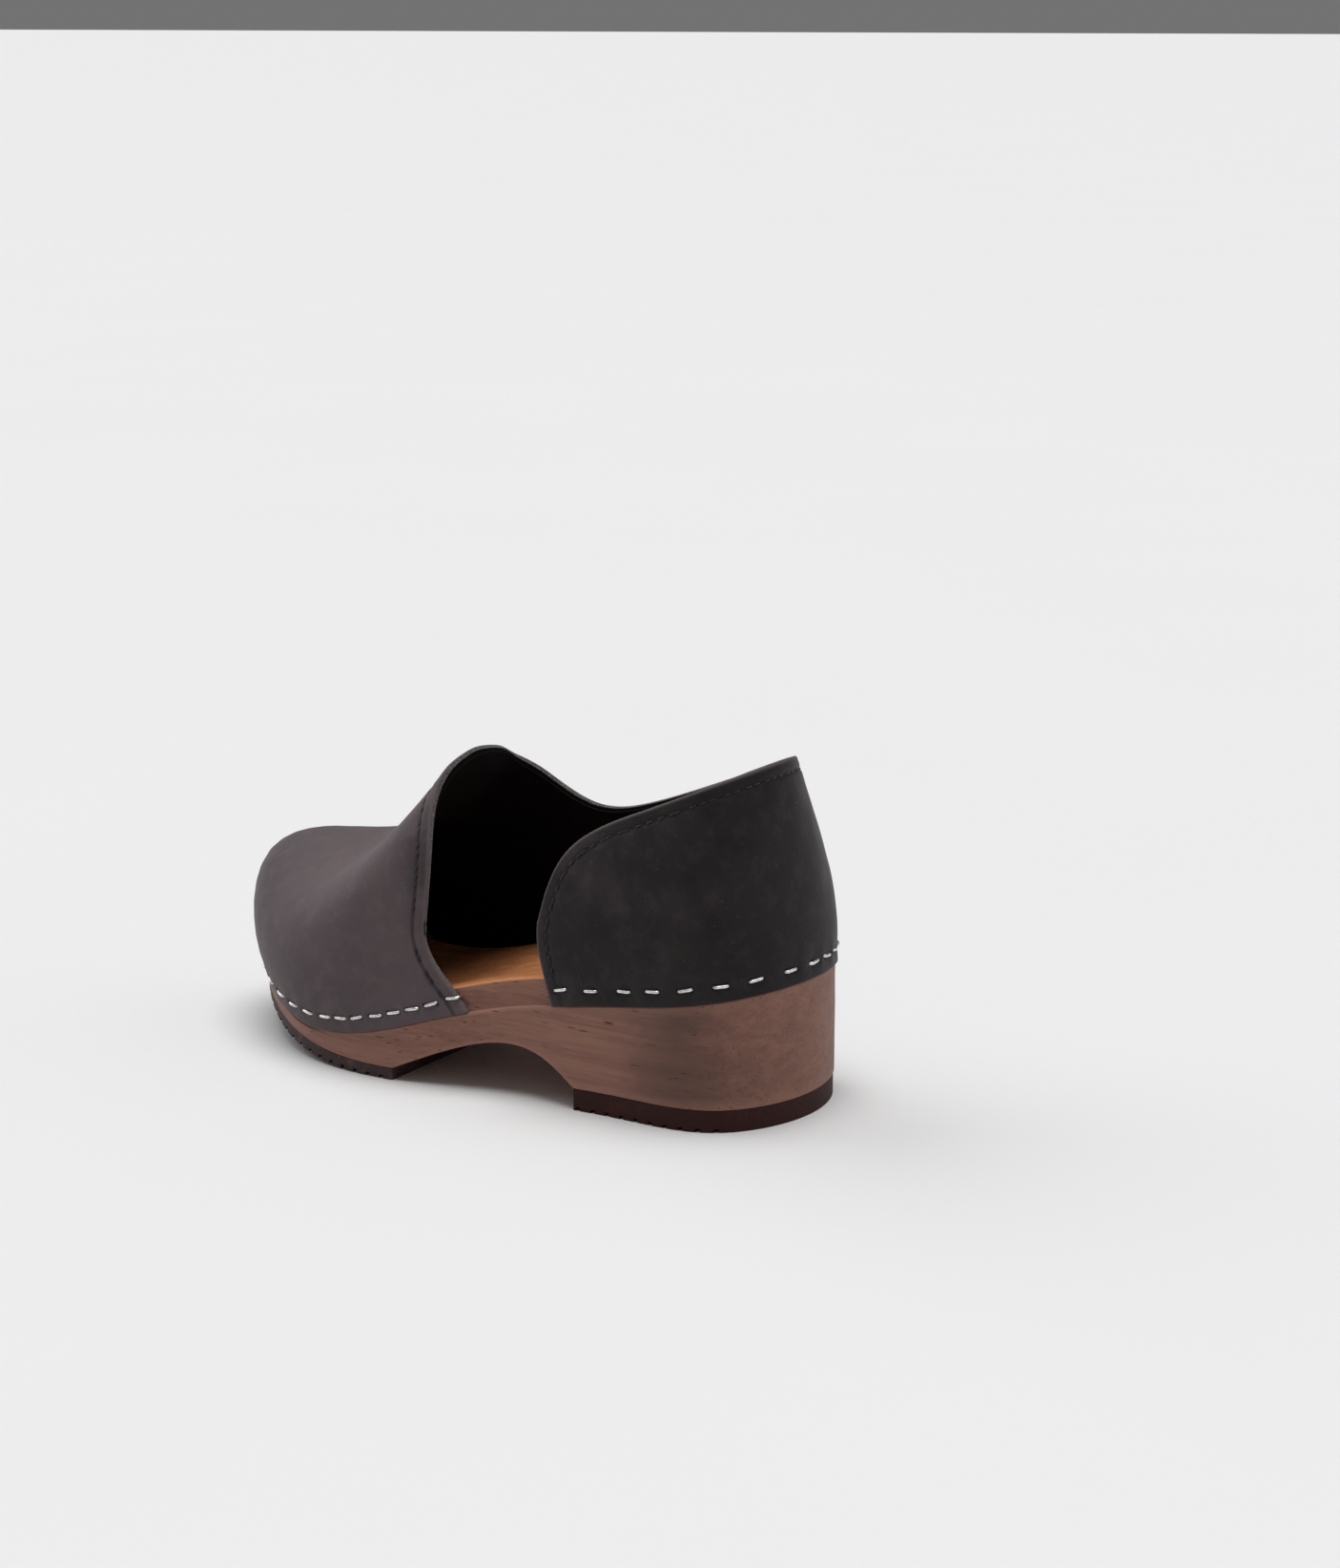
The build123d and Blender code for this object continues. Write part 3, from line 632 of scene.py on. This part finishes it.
# The leather's mesh: distances of its rows from the opening's edge, close together over the rounded edge
# and the seam, and from the ledge, close together at the staples. Columns and rows between them are even.
NEAR_EDGE = [0, 0.07, 0.27, 0.56, 0.9, 1.4, 2.1, 2.9, 3.6, 4.1, 4.45, 4.8, 5.15, 5.5, 6.0, 6.9, 8.2, 10.0]
NEAR_LEDGE = [0, 0.45, 1.1, 1.9, 2.7, 3.5, 4.2, 4.9, 5.6, 6.3, 7.0, 7.8, 8.8, 10.2]
EVEN_ROWS = 27
EVEN_COLUMNS = 520
OUTER, INNER, CUT = 0, 1, 2         # material slots of the leather


def nearest_of(points):
    """Search tree over points."""
    tree = kdtree.KDTree(len(points))
    for i, point in enumerate(points):
        tree.insert(point, i)
    tree.balance()
    return tree


def leather_grid():
    """Columns (at) of the leather's mesh, and the rises of the rows in each column."""
    fine = 2.0 * np.array(NEAR_EDGE)        # a column's place runs on twice as fast as the distance
    ats = np.r_[fine[:-1], np.linspace(fine[-1], END - fine[-1], EVEN_COLUMNS), END - fine[-2::-1]]
    dense = np.linspace(0, 1, 90)
    from_ledge, from_top = np.array(NEAR_LEDGE), np.array(NEAR_EDGE)
    rises = np.zeros((len(ats), len(from_ledge) + len(from_top) + EVEN_ROWS))
    for i, at in enumerate(ats):
        run = run_along(leather(at, dense))
        even = np.linspace(from_ledge[-1], run[-1] - from_top[-1], EVEN_ROWS + 2)[1:-1]
        rises[i] = np.interp(np.r_[from_ledge, even, run[-1] - from_top[::-1]], run, dense)
    return ats, rises


def cut_edge_points():
    """Close points along the leather's cut edges: the vamp's end, the top and the quarter's end."""
    places = [(0.0, rise) for rise in np.linspace(0, 1, 160)]
    places += [(at, 1.0) for at in np.linspace(0, END, 2400)]
    places += [(END, rise) for rise in np.linspace(1, 0, 160)]
    return leather([at for at, _ in places], [rise for _, rise in places])


def make_upper():
    """The nubuck: one sheet round the foot, pulled in by its staples, with a seam along the opening."""
    ats, rises = leather_grid()
    rows = rises.shape[1]
    grid_at = np.repeat(ats[:, None], rows, axis=1)
    points, normals = leather(grid_at, rises), leather_normal(grid_at, rises)
    edge_tree = nearest_of(cut_edge_points())
    staple_points = [leather(at, rise) for at, rise in staple_centres]
    staple_sides = [unit(leather(at + 0.5, rise) - leather(at - 0.5, rise)) for at, rise in staple_centres]
    staple_tree = nearest_of(staple_points)

    bm = bmesh.new()
    bmesh.ops.create_grid(bm, x_segments=len(ats) - 1, y_segments=rows - 1, size=1.0)
    from_edge = bm.verts.layers.float.new("from_edge")
    staple_pit = bm.verts.layers.float.new("staple_pit")
    number = bm.verts.layers.int.new("number")
    inner_places = {}
    for vert in bm.verts:
        i = int(round((vert.co.x + 1) / 2 * (len(ats) - 1)))
        j = int(round((vert.co.y + 1) / 2 * (rows - 1)))
        point, normal = points[i, j], normals[i, j]
        to_edge = edge_tree.find(point)[2]
        above = point[2] - float(ledge_height(point[0]))
        rounded = CUT_EDGE - math.sqrt(CUT_EDGE ** 2 - max(0.0, CUT_EDGE - to_edge) ** 2)
        seam = SEAM_DEPTH * math.exp(-((to_edge - STITCH_INSET) / SEAM_WIDTH) ** 2)
        seam *= min(1, max(0, above / SEAM_START - 1))
        broad, finer = (noise.noise(Vector(point) / length) for length in CREASE_LENGTHS)
        crease = CREASE * (broad + FINE_SHARE * finer) * min(1, above / CREASE_START)
        pressed, pit = 0.0, 0.0
        _, nearest, apart = staple_tree.find(point)
        if apart < PULL_LIMIT:
            pressed = PULL_DEPTH * math.exp(-(apart / PULL_SIZE) ** 2)
            for side in (-1, 1):
                leg = staple_points[nearest] + side * PIT_REACH * staple_sides[nearest]
                pit = max(pit, math.exp(-(np.linalg.norm(point - leg) / PIT_SIZE) ** 2))
        vert.co = placed(point - (rounded + seam + pressed + PIT_DEPTH * pit - crease) * normal)
        vert[from_edge], vert[staple_pit], vert[number] = to_edge, pit, vert.index
        depth = LEATHER - rounded + INNER_PULL * pressed - crease
        inner_places[vert.index] = placed(point - depth * normal)
    outer = list(bm.faces)
    out = bmesh.ops.extrude_face_region(bm, geom=outer, use_keep_orig=True)["geom"]
    inner = only(bmesh.types.BMFace, out)
    for vert in only(bmesh.types.BMVert, out):
        vert.co = inner_places[vert[number]]
    for faces, slot in ((bm.faces, CUT), (outer, OUTER), (inner, INNER)):
        for face in faces:
            face.material_index = slot
    bm.verts.layers.int.remove(number)
    bmesh.ops.recalc_face_normals(bm, faces=bm.faces)
    return finished(bm, "nubuck_upper", [nubuck, flesh_side, cut_edge], "nubuck", "upper_leather")


def make_stitching():
    """Black thread: short lengths that dip into the seam at each end."""
    bm = bmesh.new()
    for (at, rise), along in along_edge(STITCH_INSET, STITCH_PITCH, STITCH_PITCH):
        normal = leather_normal(at, rise)
        along = unit(along - np.dot(along, normal) * normal)
        across = np.cross(normal, along)
        made = bmesh.ops.create_uvsphere(bm, u_segments=8, v_segments=8, radius=1.0)
        centre = leather(at, rise) - (SEAM_DEPTH - STITCH_PROUD) * normal
        for vert in made["verts"]:
            x, y, z = vert.co
            # the sphere's poles are its ends, and its sides are filled out towards them
            full = (1 - abs(z) ** 3) ** 0.5 / max(1e-6, (1 - z * z) ** 0.5) if abs(z) < 0.999 else 0.0
            local = (z * STITCH_LENGTH / 2, x * full * THREAD / 2,
                     y * full * THREAD / 2 - STITCH_DIP * z ** 4)
            vert.co = placed(centre + local[0] * along + local[1] * across + local[2] * normal)
    bmesh.ops.recalc_face_normals(bm, faces=bm.faces)
    return finished(bm, "seam_thread", [thread], "thread", "topline_stitching")


def staple_straight(bm, edges, move):
    """A straight length of wire on an open end, and the new end's edges."""
    verts, edges, _ = extruded(bm, edges)
    bmesh.ops.translate(bm, verts=verts, vec=move)
    return edges


def staple_corner(bm, edges, middle):
    """A quarter turn of wire on an open end, and the new end's edges."""
    turned = bmesh.ops.spin(bm, geom=list(edges), cent=middle, axis=(0, 1, 0), angle=math.radians(90),
                            steps=4)
    return only(bmesh.types.BMEdge, turned["geom_last"])


def draw_staple(bm):
    """The verts of one staple, drawn with its crown along x and its legs down from z = 0."""
    bend, half = STAPLE_BEND, STAPLE_CROWN / 2
    others = set(bm.verts)
    ring = bmesh.ops.create_circle(bm, segments=8, radius=STAPLE_WIRE / 2, cap_ends=True,
                                   matrix=Matrix.Translation((-half, 0, -STAPLE_LEG)))
    edges = {edge for vert in ring["verts"] for edge in vert.link_edges}
    edges = staple_straight(bm, edges, (0, 0, STAPLE_LEG - bend))
    edges = staple_corner(bm, edges, (-half + bend, 0, -bend))
    edges = staple_straight(bm, edges, (STAPLE_CROWN - 2 * bend, 0, 0))
    edges = staple_corner(bm, edges, (half - bend, 0, -bend))
    edges = staple_straight(bm, edges, (0, 0, -(STAPLE_LEG - bend)))
    bmesh.ops.contextual_create(bm, geom=edges)
    return [vert for vert in bm.verts if vert not in others]


def make_staple_row(name, ats, node):
    """Wire staples: a straight crown and two legs bent down into the leather."""
    bm = bmesh.new()
    for at in ats:
        rise = staple_rise(at)
        flat = np.array([*outward(at), 0.0])
        fore, aft = outline_at(at + 0.5), outline_at(at - 0.5)
        along = np.array([*(fore - aft), ledge_height(fore[0]) - ledge_height(aft[0])])
        along = unit(along - np.dot(along, flat) * flat)
        tilt = STAPLE_TILT * math.sin(TILT_SPREAD * at)
        along = math.cos(tilt) * along + math.sin(tilt) * np.cross(flat, along)
        across = np.cross(flat, along)
        origin = leather(at, rise) - STAPLE_SUNK * flat
        for vert in draw_staple(bm):
            local = np.array(vert.co)
            vert.co = placed(origin + local[0] * along + local[1] * across + local[2] * flat)
    bmesh.ops.recalc_face_normals(bm, faces=bm.faces)
    return finished(bm, name, [staple_wire], "staple_wire", node)


AROUND = 640                # columns of the sole's mesh round its outline
SIDE_RINGS = 8              # rings up the wood's wall
ROUND_TURNS = [math.radians(turn) for turn in (0, 22.5, 45, 67.5, 90)]     # over a rounded edge
CAP_STEP = 5.0              # spacing of the mesh across the sole's two large faces
RIM_RINGS = 4               # rings over the footbed's rim that show the footbed's wood


def wood_profile():
    """Rings of the sole from its lower face up to the footbed: inset, share of the wall, rise, softness."""
    rings = []
    for turn in ROUND_TURNS:                # lower edge
        rings.append((LEATHER_PROUD + SOFT_EDGE * (1 - math.sin(turn)), 0.0,
                      SOFT_EDGE * (1 - math.cos(turn)), 0.7))
    for i in range(1, SIDE_RINGS):
        rings.append((LEATHER_PROUD, i / SIDE_RINGS, 0.0, 0.0))
    for turn in ROUND_TURNS:                # edge of the ledge
        rings.append((LEATHER_PROUD + SOFT_EDGE * (1 - math.cos(turn)), 1.0,
                      SOFT_EDGE * (math.sin(turn) - 1), 1.0))
    for share in (0.0, 0.25, 0.5, 0.75):    # wall of the rabbet
        rings.append((LEATHER + FIT, 1.0, share * RABBET_HEIGHT, 0.0))
    for turn in ROUND_TURNS:                # rim of the footbed
        rings.append((LEATHER + FIT + RIM_EDGE * (1 - math.cos(turn)), 1.0,
                      RABBET_HEIGHT + RIM_EDGE * (math.sin(turn) - 1), 0.8))
    return rings


def make_wood():
    """Sole carved from one block, with softened edges, its arch, its ledge and its dished footbed."""
    bm = bmesh.new()
    along = bm.verts.layers.float.new("along")
    soft_edge = bm.verts.layers.float.new("soft_edge")
    verts = bmesh.ops.create_circle(bm, segments=AROUND, radius=1.0)["verts"]
    for vert in verts:
        turn = math.atan2(vert.co.y, vert.co.x) % (2 * math.pi)
        vert[along] = turn / (2 * math.pi) * PERIOD
    edges = list(bm.edges)
    lower_edges = list(edges)
    bands = []
    for number, (inset, share, rise, soft) in enumerate(wood_profile()):
        if number:
            verts, edges, band = extruded(bm, edges)
            bands.append(band)
        for vert in verts:
            at = vert[along]
            plan = outline_at(at) - inset * outward(at)
            under, ledge = float(under_height(plan[0])), float(ledge_height(plan[0]))
            height = under + share * (ledge - under) + rise
            if 0 < share < 1:
                sideways, upwards = CARVING_LENGTH
                spot = Vector((plan[0] / sideways, plan[1] / sideways, height / upwards))
                plan = plan + CARVING * noise.noise(spot) * outward(at)
            vert.co = (*plan, height)
            vert[soft_edge] = soft
    lower = bmesh.ops.contextual_create(bm, geom=lower_edges)["faces"]
    upper = bmesh.ops.contextual_create(bm, geom=edges)["faces"]
    for cap, height_at in ((lower, lambda x, y: float(under_height(x))), (upper, footbed_height)):
        geom = list({g for face in cap for g in (face, *face.edges, *face.verts)})
        for x in np.arange(4, 250, CAP_STEP):
            geom = bmesh.ops.bisect_plane(bm, geom=geom, plane_co=(x, 0, 0), plane_no=(1, 0, 0))["geom"]
        for y in np.arange(-45, 46, CAP_STEP):
            geom = bmesh.ops.bisect_plane(bm, geom=geom, plane_co=(0, y, 0), plane_no=(0, 1, 0))["geom"]
        faces = set(only(bmesh.types.BMFace, geom))
        for vert in {vert for face in faces for vert in face.verts}:
            if all(face in faces for face in vert.link_faces):
                vert.co.z = height_at(vert.co.x, vert.co.y)
                vert[soft_edge] = 0.0
        if cap is upper:
            bands.append(faces)
    for band in bands[-RIM_RINGS - 1:]:
        for face in band:
            face.material_index = 1
    bmesh.ops.recalc_face_normals(bm, faces=bm.faces)
    for vert in bm.verts:
        vert.co = placed(vert.co)
    return finished(bm, "carved_sole", [stained_wood, footbed_wood], "stained_wood", "wood_sole")


make_upper()
make_stitching()
for row_name, row, node in zip(("vamp_wire", "medial_wire", "quarter_wire"), staple_rows,
                               ("vamp_staples", "medial_staples", "quarter_staples")):
    make_staple_row(row_name, row, node)
make_wood()

kept_finishes = {"topline_tape": flesh_side, "heel_counter": flesh_side, "toe_puff": flesh_side,
                 "heel_outsole": heel_rubber, "forefoot_outsole": forefoot_rubber,
                 "heel_outsole_nails": nail_steel, "forefoot_outsole_nails": nail_steel}
for node_name, finish in kept_finishes.items():
    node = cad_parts[node_name]
    node.data.materials.clear()
    node.data.materials.append(finish)


# ---------------------------------------------------------------- floor, light and camera

def make_floor():
    bm = bmesh.new()
    bmesh.ops.create_grid(bm, x_segments=8, y_segments=8, size=60.0)
    mesh = bpy.data.meshes.new("plain_floor")
    bm.to_mesh(mesh)
    bm.free()
    mesh.materials.append(make_floor_finish())
    floor = bpy.data.objects.new("plain_floor", mesh)
    bpy.context.scene.collection.objects.link(floor)


def make_light(name, kind, toward, energy, **settings):
    lamp = bpy.data.lights.new(name, kind)
    lamp.energy = energy
    for key, value in settings.items():
        setattr(lamp, key, value)
    holder = bpy.data.objects.new(name, lamp)
    holder.rotation_mode = "QUATERNION"
    holder.rotation_quaternion = Vector(toward).to_track_quat("-Z", "Y")
    bpy.context.scene.collection.objects.link(holder)
    return holder


CAMERA_PLACE = (-674.8, 981.4, 379.3)       # in millimetres, from the frame's origin
CAMERA_PAN = math.radians(31.86)            # from straight at the clog's outer side, towards its toe
CAMERA_TILT = math.radians(13.0)            # below level
LENS = 76.64

make_floor()
make_light("toe_softbox", "SUN", (-0.85, 0.06, -0.62), 1.05, angle=math.radians(60))
make_light("top_softbox", "SUN", (0.06, 0.0, -1.0), 2.05, angle=math.radians(42))
make_light("heel_softbox", "SUN", (0.85, 0.40, -0.55), 0.28, angle=math.radians(60))
world = bpy.data.worlds.new("studio")
world.use_nodes = True
world.node_tree.nodes["Background"].inputs["Color"].default_value = (1.0, 1.0, 1.0, 1)
world.node_tree.nodes["Background"].inputs["Strength"].default_value = 0.17
bpy.context.scene.world = world

lens = bpy.data.cameras.new("camera")
lens.lens, lens.sensor_width, lens.clip_start, lens.clip_end = LENS, 36.0, 0.05, 200.0
camera = bpy.data.objects.new("camera", lens)
camera.location = Vector(CAMERA_PLACE) * MM
forward = Vector((math.cos(CAMERA_TILT) * math.sin(CAMERA_PAN),
                  -math.cos(CAMERA_TILT) * math.cos(CAMERA_PAN),
                  -math.sin(CAMERA_TILT)))
camera.rotation_mode = "QUATERNION"
camera.rotation_quaternion = forward.to_track_quat("-Z", "Y")
bpy.context.scene.collection.objects.link(camera)
bpy.context.scene.camera = camera
bpy.context.scene.view_settings.view_transform = "Standard"
